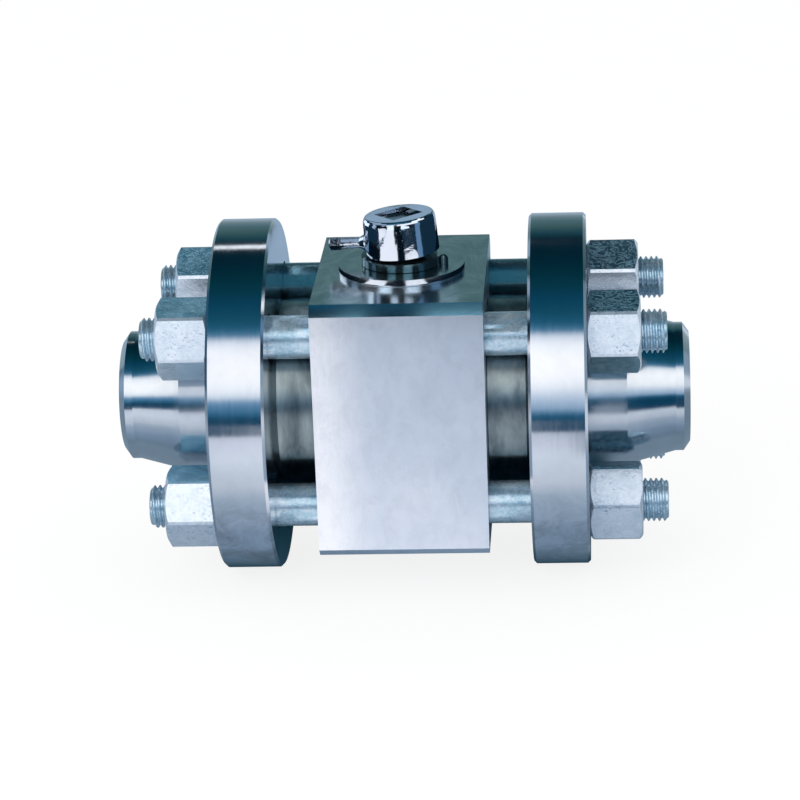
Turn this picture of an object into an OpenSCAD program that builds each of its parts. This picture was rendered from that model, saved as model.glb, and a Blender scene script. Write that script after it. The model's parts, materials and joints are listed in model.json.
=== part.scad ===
// Three-piece ball valve with a square body block, two clamp flanges and butt-weld ends.
// The flow axis runs along X, the stem stands along +Z, and the flange rims rest on Z = 0.
// All lengths are in millimetres and all angles in degrees.

/* [Pipe ends] */
// Diameter of the straight flow bore, equal to the inside of the pipe
bore_d = 38; // [34:0.5:40]
// Outer diameter of the pipe that is welded on
pipe_d = 48.3; // [46:0.1:54]
// Length from one weld face to the other
face_to_face = 213; // [208:1:240]
// Height of the flat root face left on the weld bevel
root_face = 1.7; // [1:0.1:2.5]
// Angle of the weld bevel from the end plane
bevel_angle = 35; // [25:1:40]
// Length of the straight pipe-sized tip behind the bevel
tip_len = 3; // [1:0.5:6]

/* [Connectors] */
// Diameter of the shank that passes through the clamp flange
shank_d = 58; // [56:0.5:60]
// Length of the taper from the shank down to the pipe size
taper_len = 18; // [12:1:22]
// Diameter of the collar between the block and the flange
collar_d = 70; // [68:0.5:74]
// Length of the collar
collar_len = 16; // [12:0.5:24]
// Chamfer of the collar where it meets the flange
collar_chamfer = 1.6; // [0.5:0.1:2]
// Small edge break on turned and drilled edges
edge_break = 0.4; // [0.2:0.1:0.8]

/* [Body block] */
// Length of the block along the flow axis
body_x = 63; // [62:0.5:74]
// Depth of the block
body_y = 93; // [90:1:108]
// Height of the block's top face above the flow axis
body_up = 48.2; // [46:0.2:56]
// Depth of the block's bottom face below the flow axis
body_down = 49; // [46:0.5:56]
// Chamfer along the two top edges
top_chamfer = 3.8; // [1:0.1:5]
// Chamfer along the two bottom edges
bottom_chamfer = 3; // [0.5:0.5:5]
// Diameter of the chamber bored through the block
chamber_d = 62; // [61.5:0.5:64]
// Diameter of the raised boss on the top face
boss_d = 47; // [38:1:52]
// Height of the raised boss
boss_h = 2.5; // [1:0.1:4]

/* [Clamp flanges] */
// Diameter of the clamp flanges
flange_d = 132; // [130:1:150]
// Thickness of the clamp flanges
flange_t = 21.2; // [16:0.2:28]
// Chamfer on the rim edges of the flanges
flange_chamfer = 1; // [0.5:0.1:2]
// Diameter of the stud holes in the flanges and the block
stud_hole_d = 17.5; // [17:0.1:18.2]

/* [Studs and nuts] */
// Thread diameter of the studs
stud_d = 16; // [14:0.5:16.5]
// Length of the studs
stud_len = 192.6; // [184:0.2:205]
// How far the studs are set towards the right-hand end
stud_shift = 1.5; // [0:0.1:2]
// Length of the chamfer on the stud tips
stud_tip = 1.4; // [0.5:0.1:2]
// Width of the nuts across their flats
nut_af = 27; // [24:0.5:27]
// Height of the nuts
nut_h = 19.6; // [13:0.1:22]
// Gap between the shank and the corners of the nuts, which sets how far out the studs are
nut_gap = 1.9; // [1:0.1:3]
// Size of the flat ring left on a nut face, as a share of the width across flats
nut_face_share = 0.95; // [0.9:0.01:0.98]
// Angle of the chamfer on the nut corners
nut_chamfer_angle = 30; // [15:1:40]

/* [Ball and seats] */
// Diameter of the ball
ball_d = 58; // [57:0.5:58.5]
// Radial relief of the seat rings behind the flow bore
seat_relief = 0.5; // [0.3:0.1:1]
// Outer diameter of the seat rings
seat_d = 53.8; // [51:0.2:55]
// Length of the seat rings along the flow axis
seat_len = 7.1; // [6:0.1:8]
// Depth of the seat pocket in the connector
seat_pocket = 3; // [2:0.1:4]
// Length of the connector spigot inside the block
spigot_len = 9.5; // [8:0.5:10]
// Radial width of the body seals
body_seal_w = 2.5; // [1.5:0.1:2.8]
// Thickness of the body seals
body_seal_t = 2; // [1:0.1:3]

/* [Stem] */
// Diameter of the stem
stem_d = 18; // [16:0.5:20]
// Diameter of the blow-out shoulder at the foot of the stem
shoulder_d = 26; // [24:0.5:30]
// Thickness of the blow-out shoulder
shoulder_t = 5; // [3:0.5:6]
// Thickness of the thrust washer above the shoulder
washer_t = 1.5; // [1:0.1:2]
// Width of the slot in the ball
slot_w = 8; // [6:0.5:9]
// Depth of the slot in the ball
slot_depth = 5; // [4:0.5:6]
// Width of the stem tongue across the slot
tongue_len = 18; // [14:1:22]
// Section of the stem seals
stem_seal_section = 2; // [1.6:0.1:2.4]
// Distance between the two stem seals
stem_seal_gap = 5; // [4:0.5:6]
// Side of the square on the stem end
square_side = 12.2; // [11:0.1:13]

/* [Handle] */
// Angle of the lever stub from the flow axis when the valve is open
lever_turn = -8; // [-12:1:4]
// Lean of the handle towards its lever, taken up by the play of its socket
hub_tilt = 4.4; // [0:0.2:5]
// Diameter of the handle hub at its foot
hub_d = 27.6; // [26:0.2:28.4]
// Diameter of the handle hub under its rounded top edge
hub_top_d = 27.1; // [26:0.1:28]
// Height of the hub
hub_h = 14.7; // [13:0.1:20]
// Width of the rounded top edge of the hub
hub_rim_w = 1.4; // [0.6:0.1:2]
// Height of the rounded top edge of the hub
hub_rim_h = 2.5; // [0.6:0.1:3]
// How far the stem end lies below the hub's top
stem_sink = 1.8; // [1:0.1:3]
// Diameter of the lever stub's rod
rod_d = 4.2; // [3:0.1:5]
// Distance from the stem axis to the end of the lever stub
rod_reach = 27.4; // [24:0.2:60]
// Height of the rod's axis above the hub's foot
rod_lift = 4.2; // [3.8:0.1:6]
// Diameter of the facetted grip at the rod's end
grip_d = 4.9; // [4.4:0.1:7]
// Length of the facetted grip
grip_len = 4.7; // [3:0.1:8]
// Chamfer on both ends of the grip
grip_chamfer = 0.5; // [0.2:0.1:0.8]
// Distance from the socket's corner to the root of the rod
rod_root = 0.8; // [0.4:0.1:1.5]
// Diameter of the flare where the rod meets the hub
flare_d = 6.6; // [5.5:0.1:7]
// Length of the flare
flare_len = 2; // [1:0.1:3]
// Diameter of the set screw that holds the hub
screw_d = 5; // [4:0.5:6]
// How far the set screw lies below the hub's wall
screw_sink = 1; // [0.4:0.1:2]
// Depth of the hexagon socket in the set screw
screw_key_depth = 3; // [2:0.1:4]

/* [Stop] */
// Diameter of the stop ring under the hub
ring_d = 29.8; // [28.6:0.2:30.4]
// Thickness of the stop ring
ring_t = 3; // [2:0.1:4]
// Depth of the cut-out that the stop pin runs in
ring_cut = 1.4; // [0.8:0.1:1.8]
// Diameter of the stop pin
pin_d = 3.5; // [2.8:0.1:3.8]
// Distance of the stop pin from the stem axis
pin_orbit = 16; // [15.7:0.1:16.4]
// Direction of the stop pin, counted from +X
pin_angle = -9; // [-20:1:0]
// Height of the stop pin above the boss
pin_h = 3.6; // [3:0.1:4]
// Depth of the stop pin in the block
pin_depth = 8; // [6:0.5:12]
// Play left at each end of the turn
stop_play = 0.3; // [0.1:0.1:1]

/* [Clearances] */
// Radial clearance of turned parts that slide in each other
fit = 0.05; // [0.02:0.01:0.1]
// Gap between the ball and its seats
ball_gap = 0.25; // [0.1:0.05:0.4]
// Gap between faces that turn past each other
face_gap = 0.2; // [0.1:0.05:0.4]
// Radial clearance between a clamp flange and the shank
flange_play = 0.3; // [0.2:0.05:0.5]

/* [Hidden] */
$fn = 96;

// Turn of the stem between open and closed
quarter_turn = 90;

// Overshoot of a cutting shape past the face it cuts
margin = 1;

// Play of a stem seal along its groove
seal_play = 0.6;

// Sides and rows used to place what repeats
left = -1;
right = 1;
front = -1;
back = 1;
bottom = -1;
top = 1;

// Stations along the flow axis, counted from the stem axis
body_end = body_x / 2;
spigot_end = body_end - spigot_len;
seat_back = spigot_end + seat_pocket;
flange_in = body_end + collar_len;
flange_out = flange_in + flange_t;
weld_face = face_to_face / 2;
pipe_r = pipe_d / 2;
bore_r = bore_d / 2;
root_r = bore_r + root_face;
bevel_len = (pipe_r - root_r) * tan(bevel_angle);
tip_start = weld_face - bevel_len - tip_len;
taper_start = tip_start - taper_len;

// Heights above the flow axis
axis_h = flange_d / 2;
boss_top = body_up + boss_h;
ball_r = ball_d / 2;
slot_floor = ball_r - slot_depth;
shoulder_foot = ball_r + face_gap;
shoulder_top = shoulder_foot + shoulder_t;
washer_foot = shoulder_top + face_gap;
washer_top = washer_foot + washer_t;
stem_r = stem_d / 2;
stem_seal_mid = (washer_top + boss_top) / 2;
ring_foot = boss_top + face_gap;
hub_foot = ring_foot + ring_t;
hub_mid = hub_foot + (hub_d / 2 - edge_break) * sin(hub_tilt) + hub_h / 2 * cos(hub_tilt);
stem_top = hub_mid + hub_h / 2 - stem_sink;

// Cross-sections that several parts share
chamber_r = chamber_d / 2;
spigot_r = chamber_r - fit;
seal_groove_r = chamber_r + body_seal_w + 2 * fit;
pocket_r = seat_d / 2 + 2 * fit;
shoulder_bore_r = shoulder_d / 2 + 3 * fit;
seal_r = stem_seal_section / 2;
seal_orbit = stem_r - seal_r + fit / 2;
seal_groove_floor = seal_orbit - seal_r - fit / 2;
seal_groove_w = stem_seal_section + seal_play;
square_turn = 45 + lever_turn;
socket_side = square_side / cos(hub_tilt) + hub_h * tan(hub_tilt) / sqrt(2) + 2 * fit;
lever_root = socket_side / sqrt(2) + rod_root;
nut_e = nut_af / cos(30);
stud_orbit = shank_d / 2 + nut_gap + nut_e / 2;
stud_square = stud_orbit * sqrt(2);
big = 400;

// Turns of the nuts about their studs, as they ended up when tightened
function nut_turn(side, y_row, z_row) =
  z_row == top
    ? (y_row == front ? -15 + side : 2 + side)
    : (y_row == front ? -4 + 22 * side : 9 * side);

// Raises a part from the flow axis to its place above the ground
module on_axis() {
  translate([0, 0, axis_h]) children();
}

// Revolves an outline of [radius, distance along X] points about the flow axis
module turned(points) {
  rotate([0, 90, 0]) rotate_extrude() polygon(points);
}

// Places a part that is drawn along +X on one side of the stem axis
module on_side(side) {
  if (side == left) mirror([1, 0, 0]) children();
  else children();
}

// Moves a part to the axis of one stud
module at_stud(y_row, z_row) {
  translate([0, y_row * stud_square / 2, z_row * stud_square / 2]) children();
}

// The four stud holes, drawn right through everything
module stud_holes() {
  for (y_row = [front, back], z_row = [bottom, top])
    at_stud(y_row, z_row) rotate([0, 90, 0])
      cylinder(d = stud_hole_d, h = big, center = true);
}

// Square block with the ball chamber, the seal grooves, the stem bore and the boss
module body_block() {
  y = body_y / 2;
  tc = top_chamfer;
  bc = bottom_chamfer;
  outline = [
    [-y, bc - body_down], [bc - y, -body_down], [y - bc, -body_down], [y, bc - body_down],
    [y, body_up - tc], [y - tc, body_up], [tc - y, body_up], [-y, body_up - tc]
  ];
  color([0.74, 0.77, 0.82]) on_axis() difference() {
    union() {
      rotate([90, 0, 90]) linear_extrude(body_x, center = true) polygon(outline);
      cylinder(d = boss_d, h = boss_top);
    }
    rotate([0, 90, 0]) cylinder(r = chamber_r, h = big, center = true);
    for (side = [left, right]) on_side(side)
      translate([body_end - body_seal_t, 0, 0]) rotate([0, 90, 0])
        cylinder(r = seal_groove_r, h = big);
    stud_holes();
    cylinder(r = shoulder_bore_r, h = washer_top);
    cylinder(r = stem_r + fit, h = big);
    at_pin() translate([0, 0, boss_top - pin_depth]) cylinder(d = pin_d + fit, h = big);
  }
}

// Loose ring that draws a connector against the block
module flange(side) {
  r = flange_d / 2;
  c = flange_chamfer;
  hole_r = shank_d / 2 + flange_play;
  outline = [
    [hole_r, flange_in], [r - c, flange_in], [r, flange_in + c],
    [r, flange_out - c], [r - c, flange_out], [hole_r, flange_out]
  ];
  color([0.66, 0.72, 0.79]) on_axis() on_side(side) difference() {
    turned(outline);
    stud_holes();
  }
}

// Weld end, taper, shank, collar and spigot turned from one bar
module connector(side) {
  e = edge_break;
  collar_r = collar_d / 2;
  shank_r = shank_d / 2;
  outline = [
    [bore_r, seat_back], [pocket_r, seat_back], [pocket_r, spigot_end],
    [spigot_r - e, spigot_end], [spigot_r, spigot_end + e], [spigot_r, body_end],
    [collar_r - e, body_end], [collar_r, body_end + e],
    [collar_r, flange_in - collar_chamfer], [collar_r - collar_chamfer, flange_in],
    [shank_r, flange_in], [shank_r, taper_start], [pipe_r, tip_start],
    [pipe_r, tip_start + tip_len], [root_r, weld_face], [bore_r, weld_face]
  ];
  color([0.6, 0.66, 0.72]) on_axis() on_side(side) turned(outline);
}

// Plain rod with chamfered tips
module stud(y_row, z_row) {
  r = stud_d / 2;
  half = stud_len / 2;
  outline = [
    [0, -half], [r - stud_tip, -half], [r, stud_tip - half],
    [r, half - stud_tip], [r - stud_tip, half], [0, half]
  ];
  color([0.62, 0.7, 0.76]) on_axis() at_stud(y_row, z_row)
    translate([stud_shift, 0, 0]) turned(outline);
}

// Tall hexagon nut with both faces chamfered
module nut(side, y_row, z_row) {
  face_r = nut_face_share * nut_af / 2;
  corner_r = nut_e / 2 + margin;
  rise = (corner_r - face_r) * tan(nut_chamfer_angle);
  hole_r = stud_d / 2 + fit;
  outline = [
    [hole_r, 0], [face_r, 0], [corner_r, rise],
    [corner_r, nut_h - rise], [face_r, nut_h], [hole_r, nut_h]
  ];
  color([0.7, 0.76, 0.82]) on_axis() on_side(side) at_stud(y_row, z_row)
    translate([flange_out, 0, 0])
      rotate([nut_turn(side, y_row, z_row), 0, 0])
        intersection() {
          rotate([0, 90, 0]) cylinder(d = nut_e, h = nut_h, $fn = 6);
          turned(outline);
        }
}

// Flat ring in the corner between the spigot and the block
module body_seal(side) {
  outer_r = chamber_r + body_seal_w + fit;
  outline = [
    [chamber_r, body_end - body_seal_t], [outer_r, body_end - body_seal_t],
    [outer_r, body_end], [chamber_r, body_end]
  ];
  color([0.16, 0.16, 0.17]) on_axis() on_side(side) turned(outline);
}

// Seat ring with a hollow that follows the ball
module seat(side) {
  inner_r = bore_r + seat_relief;
  outer_r = seat_d / 2;
  outline = [
    [inner_r, seat_back - seat_len], [outer_r, seat_back - seat_len],
    [outer_r, seat_back], [inner_r, seat_back]
  ];
  color([0.93, 0.92, 0.88]) on_axis() on_side(side) difference() {
    turned(outline);
    sphere(r = ball_r + ball_gap);
  }
}

// Ball with the flow bore and the slot for the stem tongue
module ball() {
  color([0.8, 0.82, 0.84]) on_axis() difference() {
    sphere(r = ball_r);
    rotate([0, 90, 0]) cylinder(r = bore_r, h = big, center = true);
    translate([-slot_w / 2, -big / 2, slot_floor]) cube([slot_w, big, big]);
  }
}

// Square section that turns with the handle
module stem_square(side_len, from_h, to_h) {
  translate([0, 0, from_h]) rotate([0, 0, square_turn])
    linear_extrude(to_h - from_h) square(side_len, center = true);
}

// Stem with its tongue, blow-out shoulder, seal grooves and square end
module stem() {
  tongue_w = slot_w - 2 * fit;
  color([0.5, 0.53, 0.52]) on_axis() difference() {
    union() {
      translate([-tongue_w / 2, -tongue_len / 2, slot_floor + face_gap])
        cube([tongue_w, tongue_len, shoulder_foot - slot_floor]);
      translate([0, 0, shoulder_foot]) cylinder(d = shoulder_d, h = shoulder_t);
      translate([0, 0, shoulder_foot]) cylinder(r = stem_r, h = boss_top - shoulder_foot);
      intersection() {
        stem_square(square_side, shoulder_top, stem_top);
        cylinder(r = stem_r, h = stem_top);
      }
    }
    for (row = [bottom, top]) stem_seal_groove(row);
  }
}

// Height of one stem seal
function stem_seal_h(row) = stem_seal_mid + row * stem_seal_gap / 2;

// Groove that holds one stem seal
module stem_seal_groove(row) {
  translate([0, 0, stem_seal_h(row) - seal_groove_w / 2]) difference() {
    cylinder(r = stem_r + margin, h = seal_groove_w);
    cylinder(r = seal_groove_floor, h = seal_groove_w);
  }
}

// Round-section ring that seals the stem
module stem_seal(row) {
  color([0.1, 0.1, 0.11]) on_axis() translate([0, 0, stem_seal_h(row)])
    rotate_extrude() translate([seal_orbit, 0]) circle(r = seal_r);
}

// Plain bearing ring between the stem shoulder and the block
module thrust_washer() {
  color([0.9, 0.89, 0.84]) on_axis() translate([0, 0, washer_foot]) difference() {
    cylinder(d = shoulder_d, h = washer_t);
    cylinder(r = stem_r + 2 * fit, h = washer_t);
  }
}

// Moves a part to the axis of the stop pin
module at_pin() {
  rotate([0, 0, pin_angle]) translate([pin_orbit, 0, 0]) children();
}

// Ring on the stem square, cut back where the stop pin runs
module stop_ring() {
  pin_half = asin(pin_d / 2 / pin_orbit) + stop_play;
  cut_from = pin_angle - pin_half;
  cut_turn = quarter_turn + 2 * pin_half;
  cut_r = ring_d / 2 - ring_cut;
  color([0.55, 0.62, 0.62]) on_axis() difference() {
    translate([0, 0, ring_foot]) cylinder(d = ring_d, h = ring_t);
    stem_square(square_side + 2 * fit, ring_foot - margin, hub_foot + margin);
    rotate([0, 0, cut_from]) rotate_extrude(angle = cut_turn)
      translate([cut_r, ring_foot - margin]) square([ring_d, ring_t + 2 * margin]);
  }
}

// Fixed pin with a domed head that stops the ring
module stop_pin() {
  r = pin_d / 2;
  color([0.5, 0.55, 0.56]) on_axis() at_pin() {
    translate([0, 0, boss_top - pin_depth]) cylinder(r = r, h = pin_depth + pin_h - r);
    translate([0, 0, boss_top + pin_h - r]) intersection() {
      sphere(r = r);
      cylinder(r = r, h = r);
    }
  }
}

// Sets the leaning handle on the stop ring; inside, the hub's foot is at Z = 0 and the lever at -X
module at_handle() {
  on_axis() translate([0, 0, hub_mid]) rotate([0, 0, lever_turn]) rotate([0, -hub_tilt, 0])
    translate([0, 0, -hub_h / 2]) children();
}

// Outside of the hub: slim cone, small chamfer at the foot, rounded edge at the top
module hub_body() {
  e = edge_break;
  r = hub_d / 2;
  rim_steps = 6;
  rim = [
    for (i = [0:rim_steps]) [
      hub_top_d / 2 - hub_rim_w * (1 - cos(90 * i / rim_steps)),
      hub_h - hub_rim_h * (1 - sin(90 * i / rim_steps))
    ]
  ];
  rotate_extrude() polygon(concat([[0, 0], [r - e, 0], [r, e]], rim, [[0, hub_h]]));
}

// Chromed hub with a square socket, a hole for the lever stub and a thread hole for the set screw
module handle_hub() {
  color([0.8, 0.83, 0.88]) at_handle() difference() {
    hub_body();
    translate([0, 0, -margin]) rotate([0, 0, 45])
      linear_extrude(hub_h + 2 * margin) square(socket_side, center = true);
    at_lever() translate([0, 0, lever_root]) cylinder(d = rod_d + 2 * fit, h = hub_d);
    at_screw() cylinder(d = screw_d + 2 * fit, h = hub_d);
  }
}

// Turns +Z to the direction of the lever stub, at the height of its axis
module at_lever() {
  translate([0, 0, rod_lift]) rotate([0, -90, 0]) children();
}

// Turns +Z to the direction of the set screw, square to a flat on the far side
module at_screw() {
  translate([0, 0, rod_lift]) rotate([0, 90, 45]) children();
}

// Short rod screwed into the hub, with a flare at the hub and a facetted grip
module lever_stub() {
  color([0.76, 0.8, 0.87]) at_handle() {
    at_lever() translate([0, 0, lever_root])
      cylinder(d = rod_d, h = rod_reach - grip_len / 2 - lever_root);
    difference() {
      at_lever() lever_flare();
      hub_body();
    }
    at_lever() translate([0, 0, rod_reach - grip_len]) lever_grip();
  }
}

// Cone where the rod meets the hub, long enough to be trimmed to the hub's wall
module lever_flare() {
  r = flare_d / 2;
  flare_end = hub_d / 2 + flare_len;
  rotate_extrude() polygon([[0, 0], [r, 0], [r, hub_d / 2], [rod_d / 2, flare_end], [0, flare_end]]);
}

// Eight-sided grip with both ends chamfered
module lever_grip() {
  r = grip_d / 2;
  c = grip_chamfer;
  intersection() {
    cylinder(r = r, h = grip_len, $fn = 8);
    rotate_extrude() polygon([
      [0, 0], [r - c, 0], [r, c], [r, grip_len - c], [r - c, grip_len], [0, grip_len]
    ]);
  }
}

// Headless screw that bears on a flat of the stem square
module set_screw() {
  tip = square_side / 2 + fit;
  head = hub_top_d / 2 - screw_sink;
  screw_key_e = screw_d / 2 / cos(30);
  color([0.2, 0.21, 0.23]) at_handle() at_screw() difference() {
    translate([0, 0, tip]) cylinder(d = screw_d, h = head - tip);
    translate([0, 0, head - screw_key_depth])
      cylinder(d = screw_key_e, h = screw_key_depth + margin, $fn = 6);
  }
}

body_block();
flange(left);  // flange_left
flange(right);  // flange_right
connector(left);  // connector_left
connector(right);  // connector_right
stud(front, top);  // stud_front_top
stud(front, bottom);  // stud_front_bottom
stud(back, top);  // stud_back_top
stud(back, bottom);  // stud_back_bottom
nut(left, front, top);  // nut_left_front_top
nut(left, front, bottom);  // nut_left_front_bottom
nut(left, back, top);  // nut_left_back_top
nut(left, back, bottom);  // nut_left_back_bottom
nut(right, front, top);  // nut_right_front_top
nut(right, front, bottom);  // nut_right_front_bottom
nut(right, back, top);  // nut_right_back_top
nut(right, back, bottom);  // nut_right_back_bottom
body_seal(left);  // body_seal_left
body_seal(right);  // body_seal_right
seat(left);  // seat_left
seat(right);  // seat_right
ball();
stem();
thrust_washer();
stem_seal(bottom);  // stem_seal_lower
stem_seal(top);  // stem_seal_upper
stop_ring();
stop_pin();
handle_hub();
lever_stub();
set_screw();
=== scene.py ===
"""Looks of a three-piece ball valve: finishes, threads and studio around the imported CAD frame.

Lengths are in metres. The flow axis lies along X, and the front of the valve looks towards -Y.
"""

import json
import math

import bmesh
import bpy
from mathutils import Matrix, Vector


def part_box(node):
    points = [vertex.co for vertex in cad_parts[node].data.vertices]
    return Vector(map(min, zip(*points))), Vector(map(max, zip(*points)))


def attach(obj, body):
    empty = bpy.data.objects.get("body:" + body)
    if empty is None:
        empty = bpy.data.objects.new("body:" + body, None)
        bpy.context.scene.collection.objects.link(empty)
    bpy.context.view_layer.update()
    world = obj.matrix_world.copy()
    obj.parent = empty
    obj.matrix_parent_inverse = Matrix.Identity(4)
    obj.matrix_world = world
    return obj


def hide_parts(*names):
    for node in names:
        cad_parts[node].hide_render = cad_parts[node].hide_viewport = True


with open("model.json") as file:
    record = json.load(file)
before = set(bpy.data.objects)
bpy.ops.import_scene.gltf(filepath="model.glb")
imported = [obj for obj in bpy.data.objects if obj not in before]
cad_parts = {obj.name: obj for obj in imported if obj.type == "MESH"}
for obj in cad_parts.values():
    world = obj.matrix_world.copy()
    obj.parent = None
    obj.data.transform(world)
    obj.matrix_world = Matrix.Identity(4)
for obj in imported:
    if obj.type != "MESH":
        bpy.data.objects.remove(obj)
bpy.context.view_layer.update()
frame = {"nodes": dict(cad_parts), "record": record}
MM = 0.001
SIDES = {"left": -1, "right": 1}
ROWS = {"front": -1, "back": 1}
LEVELS = {"bottom": -1, "top": 1}

# Sizes and places of the solids
flange_lo, flange_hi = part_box("flange_right")
stud_lo, stud_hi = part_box("stud_front_top")
nut_lo, nut_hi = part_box("nut_right_front_top")
AXIS_H = (flange_lo[2] + flange_hi[2]) / 2
FLANGE_OUT = flange_hi[0]
STUD_R = (stud_hi[2] - stud_lo[2]) / 2
STUD_LEN = stud_hi[0] - stud_lo[0]
STUD_SHIFT = (stud_hi[0] + stud_lo[0]) / 2
STUD_OFFSET = (stud_hi[2] + stud_lo[2]) / 2 - AXIS_H
NUT_H = nut_hi[0] - nut_lo[0]
NUT_AF = 27 * MM
BLOCK_TOP = 114.2 * MM

# Threads, and the step from the shank down to their roots
THREAD_PITCH = 2 * MM
THREAD_DEPTH = 1.083 * MM
THREAD_LEN = 34 * MM
THREAD_SIDES = 48
STUD_TIP = 1.4 * MM
STUD_SIDES = 64
SHANK_STEPS = 12
STEP_IN = 0.6 * MM
STEP_OUT = 0.8 * MM

# Nuts: the hole and its lip, the face inside the chamfer, and how far the corners are softened
NUT_HOLE_R = STUD_R + 0.05 * MM
NUT_LIP = 0.7 * MM
NUT_FACE_R = 0.95 * NUT_AF / 2
NUT_CHAMFER = math.radians(30)
NUT_SOFT = 0.35 * MM
NUT_SOFT_ANGLE = 3
NUT_LEAST_RISE = 0.02 * MM
NUT_STEPS = 24

# Turn of the nuts in degrees, as in the solids: of both sides, and how far each side differs from that
NUT_TURNS = {
    ("front", "top"): (-15, 1),
    ("back", "top"): (2, 1),
    ("front", "bottom"): (-4, 22),
    ("back", "bottom"): (0, 9),
}

# Where a finish, a painted shade or a painted sheen changes, each as where a band starts and where it is
# complete
STAIN_AND_SHADE_Z = (AXIS_H - 12 * MM, AXIS_H - 40 * MM)
GAP_X = (50 * MM, 49 * MM)
NECK_X = (88 * MM, 80 * MM)
GLOSSY_SHEEN_X = (-6 * MM, -31 * MM)
UNDER_EDGE_Z = (96 * MM, 112 * MM)
BOSS_Z = (BLOCK_TOP + 0.1 * MM, BLOCK_TOP + 0.3 * MM)
BACK_SHADE_Y = (-5 * MM, 5 * MM)
SHANK_X = (66 * MM, 62 * MM)
RIGHT_SHADE_X = (-10 * MM, 10 * MM)
UPPER_Z = (AXIS_H, AXIS_H + 10 * MM)
LEVER_X = (14.5 * MM, 18 * MM)


def srgb(r, g, b):
    """A colour given as it shows on screen, 0 to 255, as the linear values that shaders take."""

    def lin(c):
        c /= 255
        return c / 12.92 if c <= 0.04045 else ((c + 0.055) / 1.055) ** 2.4

    return (lin(r), lin(g), lin(b), 1)


class Tree:
    """Short calls for building a node tree."""

    def __init__(self, tree):
        self.tree = tree
        self.nodes = tree.nodes
        self.nodes.clear()

    def add(self, kind, inputs=None, **props):
        """New node, with its inputs by name or number and its settings."""
        node = self.nodes.new(kind)
        for key, value in props.items():
            setattr(node, key, value)
        for key, value in (inputs or {}).items():
            self.set(node.inputs[key], value)
        return node

    def set(self, socket, value):
        """Links a socket to another node's output, or gives it a fixed value."""
        if isinstance(value, bpy.types.NodeSocket):
            self.tree.links.new(value, socket)
        else:
            socket.default_value = value

    def math(self, op, *values, clamp=False):
        node = self.add("ShaderNodeMath", operation=op, use_clamp=clamp)
        for i, value in enumerate(values):
            self.set(node.inputs[i], value)
        return node.outputs[0]

    def times(self, *factors):
        product = factors[0]
        for factor in factors[1:]:
            product = self.math("MULTIPLY", product, factor)
        return product

    def ramp(self, fac, rows):
        """Colour ramp through rows of a place and a colour or a grey level."""
        node = self.add("ShaderNodeValToRGB", {"Fac": fac})
        elements = node.color_ramp.elements
        while len(elements) > 1:
            elements.remove(elements[-1])
        for i, (place, color) in enumerate(rows):
            element = elements[0] if i == 0 else elements.new(place)
            element.position = place
            element.color = color if isinstance(color, tuple) else (color, color, color, 1)
        return node.outputs["Color"]

    def noise(self, vector, scale, detail=3, rough=0.55, distortion=0.0):
        inputs = {"Vector": vector, "Scale": scale, "Detail": detail, "Roughness": rough}
        return self.add("ShaderNodeTexNoise", inputs | {"Distortion": distortion}).outputs["Fac"]

    def scaled(self, vector, x, y, z):
        return self.add("ShaderNodeMapping", {"Vector": vector, "Scale": (x, y, z)}).outputs["Vector"]

    def mix(self, fac, a, b):
        """Colour between a and b."""
        node = self.add("ShaderNodeMix", data_type="RGBA")
        self.set(node.inputs["Factor"], fac)
        self.set(node.inputs[6], a)
        self.set(node.inputs[7], b)
        return node.outputs[2]

    def vector(self, op, a, b=None, scale=None):
        node = self.add("ShaderNodeVectorMath", {0: a}, operation=op)
        if b is not None:
            self.set(node.inputs[1], b)
        if scale is not None:
            self.set(node.inputs["Scale"], scale)
        return node.outputs["Vector"]

    def split(self, vector):
        node = self.add("ShaderNodeSeparateXYZ", {"Vector": vector})
        return node.outputs["X"], node.outputs["Y"], node.outputs["Z"]

    def join(self, x, y, z):
        return self.add("ShaderNodeCombineXYZ", {"X": x, "Y": y, "Z": z}).outputs["Vector"]

    def band(self, value, start, full):
        """0 up to start, 1 from full on and smooth between them. Full may be the lower one."""
        inputs = {"Value": value, "From Min": start, "From Max": full}
        return self.add("ShaderNodeMapRange", inputs, interpolation_type="SMOOTHSTEP").outputs["Result"]

    def bump(self, height, strength, distance, normal=None):
        node = self.add("ShaderNodeBump", {"Height": height, "Strength": strength, "Distance": distance})
        if normal is not None:
            self.set(node.inputs["Normal"], normal)
        return node.outputs["Normal"]


def new_material(name):
    """Empty material and its node tree."""
    material = bpy.data.materials.new(name)
    material.use_nodes = True
    return material, Tree(material.node_tree)


def finish_material(t, color, rough, normal, metallic=1.0, anisotropic=0.0):
    """Ends a node tree in the shader of a solid surface."""
    inputs = {"Base Color": color, "Roughness": rough, "Metallic": metallic, "Normal": normal}
    bsdf = t.add("ShaderNodeBsdfPrincipled", inputs | {"Anisotropic": anisotropic})
    t.add("ShaderNodeOutputMaterial", {"Surface": bsdf.outputs[0]})
    return bsdf


def lathe(t):
    """A point of a part turned about the flow axis: place, along, out, turn, and the direction of the cut."""
    pos = t.add("ShaderNodeTexCoord").outputs["Object"]
    x, y, z = t.split(pos)
    z = t.math("SUBTRACT", z, AXIS_H)
    r = t.math("SQRT", t.math("ADD", t.times(y, y), t.times(z, z)))
    turn = t.math("ARCTAN2", y, z)
    cut = t.vector("NORMALIZE", t.join(0.0, t.times(z, -1.0), y))
    return pos, x, r, turn, cut


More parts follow.
